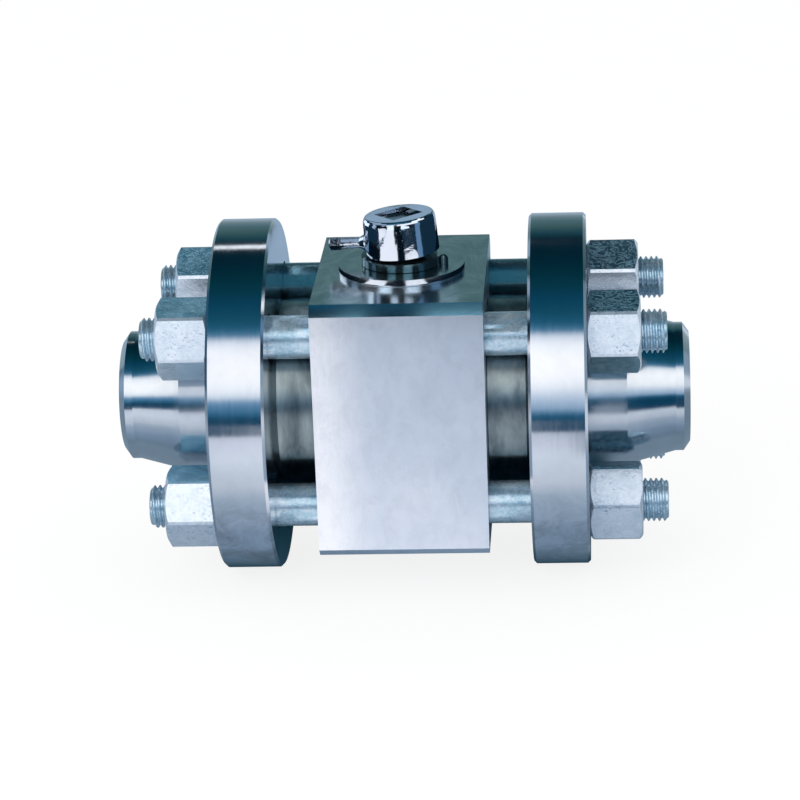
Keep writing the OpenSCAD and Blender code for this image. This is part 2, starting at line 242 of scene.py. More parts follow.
def turned_steel(name, low, high, rough, lines=900, streak=0.35, inner=None):
    """Steel turned about X: fine rings that differ in gloss and lean, so that reflections end in streaks.

    The lower part has stain patches that grow stronger towards the bottom as painted shade. `inner` gives the
    colours of the duller, mottled stretch between block and flange, darkened there as painted shade.
    """
    material, t = new_material(name)
    pos, x, r, turn, cut = lathe(t)
    groove = t.join(x, r, t.times(turn, 0.0004))
    rings = t.noise(groove, lines, 4, 0.7)
    wide = t.noise(groove, 170, 3)
    sway = t.noise(t.join(x, r, t.times(turn, 0.004)), 1300, 2, 0.6)
    cloud = t.noise(pos, 45, 4)
    color = t.mix(t.ramp(cloud, [(0.3, 0.0), (0.75, 1.0)]), low, high)
    color = t.mix(t.times(wide, streak), color, low)
    # Real stain patches, which grow stronger below the flow axis as painted shade on the lower part
    stain = t.ramp(t.noise(pos, 70, 6, 0.72, 0.8), [(0.42, 0.0), (0.66, 1.0)])
    stain = t.times(stain, t.math("MULTIPLY_ADD", t.band(t.split(pos)[2], *STAIN_AND_SHADE_Z), 0.65, 0.08))
    color = t.mix(stain, color, srgb(168, 166, 164))
    gloss = t.math("MULTIPLY_ADD", rings, rough, rough * 0.5)
    gloss = t.math("MULTIPLY_ADD", cloud, rough * 0.4, gloss)
    if inner:
        from_middle = t.math("ABSOLUTE", x)
        patch = t.noise(t.scaled(pos, 1.6, 1, 0.5), 60, 4, 0.6, 0.3)
        # Mottled colours between block and flange, darkened as painted shade for the recess between the parts
        mottle_and_shade = t.mix(t.ramp(patch, [(0.34, 0.0), (0.66, 1.0)]), *inner)
        in_gap = t.band(from_middle, *GAP_X)
        color = t.mix(in_gap, color, mottle_and_shade)
        gloss = t.math("MULTIPLY_ADD", in_gap, 0.1, gloss)
        gloss = t.math("MULTIPLY_ADD", t.band(from_middle, *NECK_X), 0.07, gloss)
    lean = t.times(t.math("SUBTRACT", sway, 0.5), 0.015)
    normal = t.add("ShaderNodeNewGeometry").outputs["Normal"]
    normal = t.vector("NORMALIZE", t.vector("ADD", normal, t.vector("SCALE", cut, scale=lean)))
    normal = t.bump(rings, 0.25, 0.02 * MM, normal)
    normal = t.bump(cloud, 0.15, 0.1 * MM, normal)
    bsdf = finish_material(t, color, gloss, normal, anisotropic=0.5)
    tangent = t.add("ShaderNodeTangent", direction_type="RADIAL", axis="X")
    t.set(bsdf.inputs["Tangent"], tangent.outputs[0])
    bsdf.inputs["Anisotropic Rotation"].default_value = 0.25
    return material


def grinding_arcs(t, pos):
    """Two sets of faint rings that cross, as a grinding wheel leaves them."""
    arcs = []
    for scale, distortion, shift in ((330.0, 5.0, (0.05, 0.02, 0)), (290.0, 7.0, (-0.04, -0.06, 0))):
        moved = t.add("ShaderNodeMapping", {"Vector": pos, "Location": shift}).outputs["Vector"]
        wave = t.add(
            "ShaderNodeTexWave",
            {"Vector": moved, "Scale": scale, "Distortion": distortion, "Detail": 3.0, "Detail Scale": 0.8},
            wave_type="RINGS",
        )
        arcs.append(wave.outputs["Fac"])
    return t.times(*arcs)


def ground_steel(name, low, high, rough, top_rough):
    """Block ground on all sides: upright lines and a glossier left part in front with a painted sheen, arcs
    and smears on the top.

    The chamfer round the top is glossier and tinted blue as a painted reflection of the sky, and the boss
    above the top has a gloss of its own.
    """
    material, t = new_material(name)
    coord = t.add("ShaderNodeTexCoord")
    pos = coord.outputs["Object"]
    x, _, z = t.split(pos)
    facing_up = t.split(coord.outputs["Normal"])[2]
    on_top = t.band(facing_up, 0.8, 0.9)
    on_side = t.math("SUBTRACT", 1.0, on_top)
    chamfer = t.times(t.band(facing_up, 0.5, 0.6), 0.72)
    fine = t.noise(t.scaled(pos, 1, 1, 0.06), 1500, 3, 0.7)
    cloud = t.noise(pos, 38, 5, 0.6)
    stain = t.noise(t.scaled(pos, 1, 1, 0.6), 150, 5, 0.7, 0.5)
    smear = t.noise(t.scaled(pos, 1, 0.5, 1), 90, 5, 0.65, 1.2)
    # Glossier left part of the front; its lighter colour is a painted sheen
    glossy_and_sheen = t.math("MULTIPLY_ADD", t.math("SUBTRACT", cloud, 0.5), 0.5, t.band(x, *GLOSSY_SHEEN_X), clamp=True)
    color = t.mix(glossy_and_sheen, t.mix(t.ramp(cloud, [(0.3, 0.0), (0.72, 1.0)]), low, high), srgb(246, 247, 250))
    # Painted shade: darker just below the top edge, plus real stain patches
    shade = t.times(t.band(z, *UNDER_EDGE_Z), 0.3)
    shade = t.math("MULTIPLY_ADD", t.ramp(stain, [(0.45, 0.0), (0.75, 1.0)]), 0.25, shade)
    color = t.mix(shade, color, srgb(176, 182, 190))
    top_color = t.mix(t.ramp(smear, [(0.35, 0.0), (0.68, 1.0)]), srgb(186, 200, 202), srgb(236, 240, 240))
    color = t.mix(on_top, color, top_color)
    # Painted reflection: the chamfer's blue tint stands for the sky that it mirrors
    color = t.mix(t.times(chamfer, on_side), color, srgb(140, 224, 242))
    side_gloss = t.math("MULTIPLY_ADD", cloud, rough * 0.3, rough * 0.75)
    side_gloss = t.math("MULTIPLY_ADD", fine, rough * 0.3, side_gloss)
    side_gloss = t.math("MULTIPLY_ADD", glossy_and_sheen, rough * -0.5, side_gloss)
    side_gloss = t.times(side_gloss, t.math("MULTIPLY_ADD", chamfer, -0.5, 1.0))
    on_boss = t.band(z, *BOSS_Z)
    side_gloss = t.math("MULTIPLY_ADD", on_boss, t.math("SUBTRACT", 0.2, side_gloss), side_gloss)
    top_gloss = t.math("MULTIPLY_ADD", smear, top_rough, top_rough * 0.5)
    gloss = t.math("ADD", t.times(on_top, top_gloss), t.times(on_side, side_gloss))
    normal = t.bump(fine, t.math("MULTIPLY_ADD", chamfer, -0.16, 0.12, clamp=True), 0.02 * MM)
    normal = t.bump(grinding_arcs(t, pos), 0.14, 0.012 * MM, normal)
    normal = t.bump(smear, 0.12, 0.06 * MM, normal)
    normal = t.bump(cloud, 0.1, 0.3 * MM, normal)
    finish_material(t, color, gloss, normal)
    return material


def zinc(name, low, high, rough, speck, dents, dent_scale, metallic, upper=None, back=None):
    """Zinc coat with specks, dents and scratches.

    `upper` gives the duller, creased coat of faces that look up, and `back` that of what lies behind the flow
    axis, both as two colours and how metallic it is; their darker colours are painted shade. At the right the
    upper coat is darker still, and the faces of the upper nuts that look down get a painted dark reflection.
    """
    material, t = new_material(name)
    coord = t.add("ShaderNodeTexCoord")
    pos = coord.outputs["Object"]
    x, y, z = t.split(pos)
    speckle = t.noise(pos, speck, 5, 0.7)
    cloud = t.noise(pos, 160, 4, 0.6, 0.6)
    dent = t.noise(t.scaled(pos, 0.55, 1, 1), dent_scale, 3, 0.6, 2.2)
    crease = t.ramp(dent, [(0.43, 1.0), (0.5, 0.0), (0.57, 1.0)])
    scratch = t.noise(t.scaled(pos, 0.2, 1, 1), 1500, 2, 0.6)
    color = t.mix(t.ramp(t.mix(0.5, speckle, cloud), [(0.36, 0.0), (0.62, 1.0)]), low, high)
    mark = t.ramp(t.noise(t.scaled(pos, 0.7, 1, 1), 620, 4, 0.75, 1.6), [(0.36, 1.0), (0.45, 0.0)])
    marked_area = t.ramp(t.noise(pos, 95, 3, 0.6), [(0.42, 0.1), (0.62, 0.75)])
    color = t.mix(t.times(mark, marked_area), color, srgb(120, 150, 176))
    depth = dents
    metal = metallic
    # Painted shade: darker, more metallic colours on the stud shanks behind the flow axis
    if back:
        on_shank = t.band(t.math("ABSOLUTE", x), *SHANK_X)
        behind = t.times(t.band(y, *BACK_SHADE_Y), on_shank)
        color = t.mix(behind, color, t.mix(speckle, back[0], back[1]))
        metal = t.math("MULTIPLY_ADD", behind, back[2] - metallic, metallic)
        metal = t.math("MULTIPLY_ADD", t.math("SUBTRACT", 1.0, on_shank), 0.08, metal)
    # Faces that look up: deeper creases, and darker, bluer colours as painted shade
    if upper:
        facing = t.split(coord.outputs["Normal"])[2]
        up = t.band(facing, 0.72, 0.86)
        line = t.times(t.math("SUBTRACT", 1.0, crease), 0.6)
        # At the right the coat of faces that look up is darker: painted shade
        right_shade = t.times(t.band(x, *RIGHT_SHADE_X), 0.85)
        upper_coat_shade = t.mix(t.ramp(cloud, [(0.35, 0.0), (0.65, 1.0)]), upper[0], upper[1])
        upper_coat_shade = t.mix(right_shade, upper_coat_shade, srgb(12, 70, 92))
        color = t.mix(up, color, t.mix(line, upper_coat_shade, srgb(168, 216, 234)))
        # Painted dark reflection on the faces of the upper right nuts that look down, with light crease lines
        under = t.times(right_shade, t.band(facing, -0.3, -0.5), t.band(z, *UPPER_Z))
        color = t.mix(under, color, t.mix(line, srgb(88, 138, 156), srgb(178, 214, 226)))
        depth = t.math("MULTIPLY_ADD", up, 0.75, dents)
        metal = t.math("MULTIPLY_ADD", up, upper[2] - metallic, metallic)
    gloss = t.math("MULTIPLY_ADD", cloud, rough * 0.7, rough * 0.6)
    normal = t.bump(crease, depth, 0.2 * MM)
    normal = t.bump(speckle, 0.3, 0.08 * MM, normal)
    normal = t.bump(scratch, 0.12, 0.03 * MM, normal)
    finish_material(t, color, gloss, normal, metallic=metal)
    return material


def chrome(name, tint, rough, wave=0.25):
    """Polished chrome over a casting that isn't quite even. The lever is rougher than the hub."""
    material, t = new_material(name)
    pos = t.add("ShaderNodeTexCoord").outputs["Object"]
    on_lever = t.band(t.math("ABSOLUTE", t.split(pos)[0]), *LEVER_X)
    swell = t.noise(pos, 130, 3, 0.5, 0.3)
    ripple = t.noise(pos, 520, 3, 0.6)
    lumps = t.noise(pos, 380, 3, 0.55, 0.8)
    pits = t.ramp(t.noise(pos, 900, 2), [(0.28, 0.0), (0.34, 1.0)])
    smear = t.noise(t.scaled(pos, 1, 1, 0.3), 220, 4)
    color = t.mix(smear, tint, tuple(c * 0.9 for c in tint[:3]) + (1,))
    gloss = t.ramp(smear, [(0.35, rough), (0.8, rough * 3)])
    gloss = t.math("MULTIPLY_ADD", on_lever, 0.1, gloss)
    normal = t.bump(swell, wave, 0.5 * MM)
    normal = t.bump(ripple, wave * 0.6, 0.06 * MM, normal)
    normal = t.bump(lumps, t.times(on_lever, 0.6), 0.5 * MM, normal)
    normal = t.bump(pits, 0.3, 0.03 * MM, normal)
    finish_material(t, color, gloss, normal)
    return material


def dull_steel(name, low, high, rough, metallic):
    """Machined steel left as it came off the tool."""
    material, t = new_material(name)
    pos = t.add("ShaderNodeTexCoord").outputs["Object"]
    cloud = t.noise(pos, 240, 5, 0.6)
    fine = t.noise(t.scaled(pos, 1, 1, 0.2), 1600, 3)
    color = t.mix(t.ramp(cloud, [(0.3, 0.0), (0.7, 1.0)]), low, high)
    gloss = t.math("MULTIPLY_ADD", cloud, rough * 0.6, rough * 0.7)
    normal = t.bump(fine, 0.15, 0.03 * MM)
    normal = t.bump(cloud, 0.12, 0.1 * MM, normal)
    finish_material(t, color, gloss, normal, metallic=metallic)
    return material


def soft_solid(name, low, high, rough, scale, bump):
    """Plastic or packing material: no metal, slightly uneven."""
    material, t = new_material(name)
    pos = t.add("ShaderNodeTexCoord").outputs["Object"]
    grain = t.noise(pos, scale, 4)
    gloss = t.math("MULTIPLY_ADD", grain, 0.2, rough - 0.1)
    finish_material(t, t.mix(grain, low, high), gloss, t.bump(grain, bump, 0.05 * MM), metallic=0.0)
    return material


MATERIALS = {
    "ground_steel": ground_steel("ground_steel", srgb(222, 230, 240), srgb(236, 241, 248), 0.36, 0.17),
    "turned_steel": turned_steel("turned_steel", srgb(220, 224, 230), srgb(234, 236, 240), 0.11),
    "weld_end_steel": turned_steel(
        "weld_end_steel", srgb(206, 212, 218), srgb(238, 241, 244), 0.12, 700, 0.5,
        # Colours between block and flange: real mottle, darkened as painted shade
        inner=(srgb(93, 106, 111), srgb(168, 180, 181)),
    ),
    "galvanised": zinc(
        "galvanised", srgb(142, 184, 204), srgb(218, 233, 243), 0.19, 900, 0.1, 300, 0.7,
        # Darker colours behind the flow axis: painted shade
        back=(srgb(84, 140, 156), srgb(176, 214, 226), 0.95),
    ),
    "zinc_nut": zinc(
        "zinc_nut", srgb(206, 219, 231), srgb(232, 239, 247), 0.17, 700, 0.08, 330, 0.76,
        # Colours of the faces that look up, darker and bluer as painted shade
        upper=(srgb(92, 154, 184), srgb(148, 202, 228), 0.72),
    ),
    "chrome": chrome("chrome", srgb(222, 228, 238), 0.045),
    "stem_steel": dull_steel("stem_steel", srgb(54, 80, 88), srgb(108, 136, 144), 0.14, 0.95),
    "ball_steel": chrome("ball_steel", srgb(218, 220, 222), 0.05, 0.05),
    "seat_plastic": soft_solid("seat_plastic", srgb(228, 226, 218), srgb(242, 241, 236), 0.45, 500, 0.1),
    "seal_graphite": soft_solid("seal_graphite", srgb(30, 31, 33), srgb(48, 49, 52), 0.6, 900, 0.3),
    "black_screw": dull_steel("black_screw", srgb(38, 40, 44), srgb(58, 60, 66), 0.35, 0.6),
}


def dress(obj, slot):
    """Gives a piece the look of its material slot."""
    obj.data.materials.clear()
    obj.data.materials.append(MATERIALS[slot])


for entry in frame["record"]["subparts"]:
    dress(frame["nodes"][entry["node"]], entry["material_slot"])


def mesh_object(name, bm, slot, smooth_angle):
    """New piece from a mesh, smooth apart from edges sharper than an angle in degrees."""
    mesh = bpy.data.meshes.new(name)
    bm.to_mesh(mesh)
    bm.free()
    obj = bpy.data.objects.new(name, mesh)
    bpy.context.scene.collection.objects.link(obj)
    for p in mesh.polygons:
        p.use_smooth = True
    mesh.set_sharp_from_angle(angle=math.radians(smooth_angle))
    dress(obj, slot)
    return obj


def thread_end(bm, x_from, x_tip):
    """Real helical thread with its crests and roots, cut by the chamfer at the tip and closed there."""
    way = 1 if x_tip > x_from else -1
    length = abs(x_tip - x_from)
    root = STUD_R - THREAD_DEPTH
    tip_r = STUD_R - STUD_TIP
    # Root, flank and crest, by shares of the pitch
    profile = [(0, root), (0.18, root), (0.48, STUD_R), (0.66, STUD_R)]
    turns = round(length / THREAD_PITCH) + 2
    seg = THREAD_SIDES
    rows = []
    for k in range(turns * seg + 1):
        a = 2 * math.pi * k / seg
        row = []
        for share, r in profile:
            s = (k / seg - 1 + share) * THREAD_PITCH
            s = min(max(s, 0), length)
            r = min(r, tip_r + (length - s))
            row.append(bm.verts.new((x_from + way * s, r * math.cos(a), way * r * math.sin(a))))
        rows.append(row)

    def quad(a, b, c, d):
        """One face of the thread, or none where the chamfer or the start has closed it up."""
        if way < 0:
            a, b, c, d = a, d, c, b
        if len({tuple(round(x, 8) for x in v.co) for v in (a, b, c, d)}) < 3:
            return
        try:
            bm.faces.new((a, b, c, d))
        except ValueError:
            pass

    for k in range(len(rows) - 1):
        for j in range(3):
            quad(rows[k][j], rows[k][j + 1], rows[k + 1][j + 1], rows[k + 1][j])
        if k + seg + 1 < len(rows):
            quad(rows[k][3], rows[k + seg][0], rows[k + seg + 1][0], rows[k + 1][3])
    around = [2 * math.pi * i / seg for i in range(seg)]
    bm.faces.new([bm.verts.new((x_tip, tip_r * math.cos(a), tip_r * math.sin(a))) for a in around])


def make_stud(name, y, z):
    """Plain shank that steps down to the roots of its two threaded ends."""
    bm = bmesh.new()
    end = STUD_LEN / 2
    shank_end = end - THREAD_LEN
    thread_end(bm, shank_end, end)
    thread_end(bm, -shank_end, -end)
    root = STUD_R - THREAD_DEPTH
    stations = [(-shank_end - STEP_IN, root), (-shank_end + STEP_OUT, STUD_R)]
    stations += [(shank_end * (2 * i / SHANK_STEPS - 1), STUD_R) for i in range(1, SHANK_STEPS)]
    stations += [(shank_end - STEP_OUT, STUD_R), (shank_end + STEP_IN, root)]
    around = [2 * math.pi * i / STUD_SIDES for i in range(STUD_SIDES)]
    rings = [[bm.verts.new((x, r * math.cos(a), r * math.sin(a))) for a in around] for x, r in stations]
    for a, b in zip(rings, rings[1:]):
        for i in range(STUD_SIDES):
            j = (i + 1) % STUD_SIDES
            bm.faces.new((a[i], a[j], b[j], b[i]))
    bmesh.ops.remove_doubles(bm, verts=bm.verts, dist=1e-6)
    bmesh.ops.recalc_face_normals(bm, faces=bm.faces)
    bmesh.ops.translate(bm, verts=bm.verts, vec=(STUD_SHIFT, y, AXIS_H + z))
    return mesh_object(name, bm, "galvanised", smooth_angle=35)


def nut_profile(a):
    """Outline (along, out) of a nut's section at an angle from one of its corners."""
    off = (math.degrees(a) + 30) % 60 - 30
    corner = NUT_AF / 2 / math.cos(math.radians(30))
    r = NUT_AF / 2 / math.cos(math.radians(30 - abs(off)))
    r = min(r, corner - NUT_SOFT * (1 - 0.6 * min(abs(off) / NUT_SOFT_ANGLE, 1)))
    rise = max((r - NUT_FACE_R) * math.tan(NUT_CHAMFER), NUT_LEAST_RISE)
    lip_r = NUT_HOLE_R + NUT_LIP
    return [
        (0, NUT_HOLE_R), (0, lip_r), (0, NUT_FACE_R), (rise, r),
        (NUT_H * 0.25, r), (NUT_H * 0.5, r), (NUT_H * 0.75, r),
        (NUT_H - rise, r), (NUT_H, NUT_FACE_R), (NUT_H, lip_r), (NUT_H - NUT_LIP, NUT_HOLE_R),
        (NUT_LIP, NUT_HOLE_R),
    ]


def make_nut(name, side, y, z, turn):
    """Hexagon with softened corners; the cone chamfers cut it in arcs at both ends."""
    bm = bmesh.new()
    columns = []
    for i in range(6 * NUT_STEPS):
        a = 2 * math.pi * i / (6 * NUT_STEPS)
        column = []
        for s, r in nut_profile(a):
            place = (side * (FLANGE_OUT + s), -r * math.sin(a + turn), r * math.cos(a + turn))
            column.append(bm.verts.new(place))
        columns.append(column)
    count = len(columns[0])
    for a, b in zip(columns, columns[1:] + columns[:1]):
        for j in range(count):
            k = (j + 1) % count
            bm.faces.new((a[j], a[k], b[k], b[j]))
    bmesh.ops.recalc_face_normals(bm, faces=bm.faces)
    bmesh.ops.translate(bm, verts=bm.verts, vec=(0, y, AXIS_H + z))
    return mesh_object(name, bm, "zinc_nut", smooth_angle=22)


for row_name, row in ROWS.items():
    for level_name, level in LEVELS.items():
        y, z = row * STUD_OFFSET, level * STUD_OFFSET
        place = f"{row_name}_{level_name}"
        stud = make_stud(f"threaded_stud_{place}", y, z)
        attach(stud, "valve_body")
        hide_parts(f"stud_{place}")
        for side_name, side in SIDES.items():
            both, apart = NUT_TURNS[row_name, level_name]
            turn = math.radians(both + side * apart)
            nut = make_nut(f"hex_nut_{side_name}_{place}", side, y, z, turn)
            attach(nut, "valve_body")
            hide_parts(f"nut_{side_name}_{place}")


# Camera, fitted to edges measured in the photograph
CAMERA_AT = Vector((75.0, -1149.9, 468.0)) * MM
CAMERA_YAW = math.radians(3.86)
CAMERA_PITCH = math.radians(19.40)
CAMERA_ROLL = math.radians(-2.19)
CAMERA_LENS = 145.2
CAMERA_SENSOR = 36


def make_camera():
    """Camera at the photograph's viewing angle."""
    level = math.cos(CAMERA_PITCH)
    back = Vector((math.sin(CAMERA_YAW) * level, -math.cos(CAMERA_YAW) * level, math.sin(CAMERA_PITCH)))
    level_right = (-back).cross(Vector((0, 0, 1))).normalized()
    level_up = level_right.cross(-back)
    right = math.cos(CAMERA_ROLL) * level_right + math.sin(CAMERA_ROLL) * level_up
    up = -math.sin(CAMERA_ROLL) * level_right + math.cos(CAMERA_ROLL) * level_up
    data = bpy.data.cameras.new("camera")
    data.sensor_width = CAMERA_SENSOR
    data.lens = CAMERA_LENS
    data.clip_start = 0.05
    data.clip_end = 50
    camera = bpy.data.objects.new("camera", data)
    bpy.context.scene.collection.objects.link(camera)
    turn = Matrix((right, up, back)).transposed()
    camera.matrix_world = Matrix.Translation(CAMERA_AT) @ turn.to_4x4()
    bpy.context.scene.camera = camera


# Studio: pale floor, white surroundings, and cards that only reflections see
def flat_mesh(name, corners):
    """Mesh of one flat face through the corners."""
    mesh = bpy.data.meshes.new(name)
    mesh.from_pydata(corners, [], [tuple(range(len(corners)))])
    return mesh


def for_gloss(name, mesh, material):
    """Puts up a stage object that only reflections see. It gives no plain light and casts no shadow."""
    obj = bpy.data.objects.new(name, mesh)
    bpy.context.scene.collection.objects.link(obj)
    mesh.materials.append(material)
    obj.visible_camera = False
    obj.visible_diffuse = False
    obj.visible_transmission = False
    obj.visible_shadow = False


def glow_from(t, color):
    """Ends a node tree in a plain glow."""
    glow = t.add("ShaderNodeEmission", {"Color": color})
    t.add("ShaderNodeOutputMaterial", {"Surface": glow.outputs[0]})


def stops(rows, start, end):
    """Ramp stops from rows of a place and a colour, where the ramp runs from start to end."""
    return [((place - start) / (end - start), color + (1,)) for place, color in rows]


def strip(name, stations, material):
    """Sheet that runs along X through stations of (y, z), with a UV that counts from 0 to 1."""
    verts, faces, shares = [], [], []
    last = len(stations) - 1
    for i, (y, z) in enumerate(stations):
        for x in (-STUDIO_HALF, STUDIO_HALF):
            verts.append((x, y, z))
            shares.append(i / last)
    for i in range(last):
        faces.append((2 * i, 2 * i + 1, 2 * i + 3, 2 * i + 2))
    mesh = bpy.data.meshes.new(name)
    mesh.from_pydata(verts, [], faces)
    layer = mesh.uv_layers.new(name="along")
    for loop in mesh.loops:
        layer.data[loop.index].uv = (shares[loop.vertex_index], 0)
    for_gloss(name, mesh, material)


# The sky is a half tunnel round the flow axis. Its rows are degrees up from the level in front, and a colour
STUDIO_HALF = 3.0
TUNNEL_R = 2.2
TUNNEL_FROM, TUNNEL_TO = -2, 184
TUNNEL_STEPS = 93
LOW_LEFT = [
    (-2, (0.0004, 0.045, 0.1)), (3, (0.001, 0.055, 0.12)), (6, (0.015, 0.14, 0.27)), (11, (0.08, 0.24, 0.42)),
    (13.5, (0.16, 0.34, 0.54)), (16.5, (0.8, 0.9, 1.0)),
]
LOW_RIGHT = [
    (-2, (0.0008, 0.07, 0.145)), (1.5, (0.003, 0.1, 0.2)), (4, (0.12, 0.28, 0.45)), (6, (0.34, 0.5, 0.68)),
    (11, (0.54, 0.68, 0.85)), (16.5, (0.84, 0.92, 1.04)),
]
HIGH = [
    (21, (1.1, 1.13, 1.18)), (27, (1.22, 1.23, 1.26)), (37, (1.26, 1.26, 1.28)), (47, (1.12, 1.15, 1.2)),
    (52, (0.8, 0.88, 1.0)), (56, (0.05, 0.21, 0.36)), (61, (0.012, 0.11, 0.2)), (68, (0.006, 0.083, 0.14)),
    (78, (0.003, 0.058, 0.115)), (88, (0.002, 0.044, 0.07)), (99, (0.001, 0.031, 0.049)),
    (112, (0.001, 0.02, 0.035)), (132, (0.001, 0.016, 0.03)), (139, (0.012, 0.062, 0.085)),
    (150, (0.056, 0.125, 0.131)), (160, (0.083, 0.167, 0.188)), (170, (0.17, 0.258, 0.286)),
    (180, (0.33, 0.43, 0.5)), (184, (0.4, 0.5, 0.6)),
]
LOW_LEFT_X, LOW_RIGHT_X = -0.2, -0.03


def on_tunnel(angle, radius):
    """(y, z) of a point round the flow axis, by its angle in degrees up from the level in front."""
    a = math.radians(angle)
    return -radius * math.cos(a), AXIS_H + radius * math.sin(a)


def make_sky():
    """Striped sky, which draws the bands on the flanges. Low in front it is lighter at the right."""
    material, t = new_material("card_sky")
    along = t.split(t.add("ShaderNodeUVMap", uv_map="along").outputs["UV"])[0]
    skies = [t.ramp(along, stops(low + HIGH, TUNNEL_FROM, TUNNEL_TO)) for low in (LOW_LEFT, LOW_RIGHT)]
    across = t.split(t.add("ShaderNodeTexCoord").outputs["Object"])[0]
    glow_from(t, t.mix(t.band(across, LOW_LEFT_X, LOW_RIGHT_X), *skies))
    step = (TUNNEL_TO - TUNNEL_FROM) / TUNNEL_STEPS
    stations = [on_tunnel(TUNNEL_FROM + step * i, TUNNEL_R) for i in range(TUNNEL_STEPS + 1)]
    strip("card_sky", stations, material)


# Slit in the sky, in degrees and in metres along the flow axis
SLIT_ANGLES = (127, 131)
SLIT_X = (-0.38, -0.14)
SLIT_R = TUNNEL_R - 0.02
SLIT_LIGHT = (1.3, 1.35, 1.4, 1)


def make_slit():
    """Thin bright slit high at the back left, which draws the line on the left flange."""
    material, t = new_material("card_slit")
    glow_from(t, SLIT_LIGHT)
    low, high = (on_tunnel(angle, SLIT_R) for angle in SLIT_ANGLES)
    left, right = SLIT_X
    corners = [(left, *low), (right, *low), (right, *high), (left, *high)]
    for_gloss("card_slit", flat_mesh("card_slit", corners), material)


# Rows of the ground are mm along Y, and a colour. The second list is what the block's front face mirrors
FAR_DARK = (0.0006, 0.055, 0.12)
GROUND = [
    (-640, FAR_DARK), (-545, FAR_DARK), (-480, (0.66, 0.72, 0.84)), (-320, (0.74, 0.79, 0.92)),
    (-200, (0.76, 0.83, 0.94)), (-147, (0.668, 0.741, 0.844)), (-116, (0.6, 0.66, 0.766)),
    (-95, (0.39, 0.488, 0.6)), (-68, (0.296, 0.39, 0.515)), (-58, (0.232, 0.326, 0.445)),
    (-44, (0.2, 0.29, 0.4)), (-20, (0.02, 0.06, 0.09)), (30, (0.005, 0.025, 0.04)), (90, (0.1, 0.16, 0.23)),
    (180, (0.24, 0.33, 0.46)), (420, (0.3, 0.42, 0.56)),
]
BEFORE_BLOCK = [
    (-640, (0.4, 0.45, 0.52)), (-420, (0.6, 0.65, 0.74)), (-250, (0.72, 0.76, 0.86)),
    (-150, (0.82, 0.86, 0.95)), (-80, (0.98, 1.0, 1.08)), (-50, (0.8, 0.85, 0.94)), (420, (0.3, 0.42, 0.56)),
]
GROUND_Z = 0.3 * MM

# The strip that the block's front face mirrors: where it starts, and how far its edges move left per length
STRIP_START = -46 * MM
STRIP_LEAN_LEFT = 0.0926
STRIP_LEAN_RIGHT = 0.03
STRIP_LEAN_KEEN = 0.08
KEEN_LIGHT = (1.08, 1.1, 1.16, 1)
WIDE_LIGHT = (0.74, 0.8, 0.9, 1)
END_SHADE_GREY = (0.2, 0.28, 0.36, 1)


def make_ground():
    """What reflections see of the floor: shaded near the valve, light further out, dark far in front."""
    material, t = new_material("card_ground")
    x, y, _ = t.split(t.add("ShaderNodeTexCoord").outputs["Object"])
    beside = t.math("ABSOLUTE", x)
    lo, hi = GROUND[0][0], GROUND[-1][0]
    place = t.math("DIVIDE", t.math("SUBTRACT", y, lo * MM), (hi - lo) * MM)
    color = t.ramp(place, stops(GROUND, lo, hi))

    # Lighter strip in front of the block, which leans to the left with the distance
    ahead = t.math("SUBTRACT", STRIP_START, y)
    left_of = t.band(t.math("MULTIPLY_ADD", ahead, STRIP_LEAN_LEFT, x), -44 * MM, -40 * MM)
    right_of = t.band(t.math("MULTIPLY_ADD", ahead, STRIP_LEAN_RIGHT, x), 42 * MM, 38 * MM)
    keen_side = t.band(t.math("MULTIPLY_ADD", ahead, STRIP_LEAN_KEEN, x), -14 * MM, -30 * MM)
    block_color = t.ramp(place, stops(BEFORE_BLOCK, lo, hi))
    block_color = t.mix(t.times(keen_side, 0.8), block_color, KEEN_LIGHT)
    color = t.mix(t.times(left_of, right_of, t.band(ahead, 0.0, 8 * MM)), color, block_color)

    # Light far out to both sides, except at the back left
    left_back = t.times(t.band(x, 0.05, -0.05), t.band(y, -0.06, 0.0))
    aside = t.times(t.band(beside, 0.2, 0.45), t.band(y, -0.53, -0.47), t.math("SUBTRACT", 1.0, left_back))
    color = t.mix(aside, color, WIDE_LIGHT)

    # Dark in front at the right, which the right weld end mirrors
    color = t.mix(t.times(t.band(x, 66 * MM, 70 * MM), t.band(y, -0.165, -0.235)), color, FAR_DARK + (1,))

    # Grey under and behind both weld ends: painted shade on the floor there
    shade_below_ends = t.times(t.band(beside, 72 * MM, 80 * MM), t.band(y, -50 * MM, -25 * MM))
    glow_from(t, t.mix(t.times(shade_below_ends, t.band(y, 200 * MM, 90 * MM)), color, END_SHADE_GREY))
    strip("card_ground", [(-TUNNEL_R, GROUND_Z), (TUNNEL_R, GROUND_Z)], material)


# Colour of each end wall's foot; both fade to the same dark blue at the top
END_WALLS = {"left": (0.03, 0.1, 0.17, 1), "right": (0.26, 0.36, 0.46, 1)}
WALL_HEAD = (0.02, 0.07, 0.12, 1)
WALL_X, WALL_HALF, WALL_FOOT, WALL_TOP = 2.9, 2.2, 0.001, 2.3


def make_end_walls():
    """Dim walls beyond both ends, for the faces and chamfers that look along the flow axis."""
    for side_name, side in SIDES.items():
        name = f"card_end_{side_name}"
        material, t = new_material(name)
        height = t.math("DIVIDE", t.split(t.add("ShaderNodeTexCoord").outputs["Object"])[2], WALL_TOP)
        glow_from(t, t.ramp(height, [(0.35, END_WALLS[side_name]), (1.0, WALL_HEAD)]))
        front, back = -WALL_HALF, WALL_HALF
        outline = [(front, WALL_FOOT), (back, WALL_FOOT), (back, WALL_TOP), (front, WALL_TOP)]
        for_gloss(name, flat_mesh(name, [(side * WALL_X, y, z) for y, z in outline]), material)


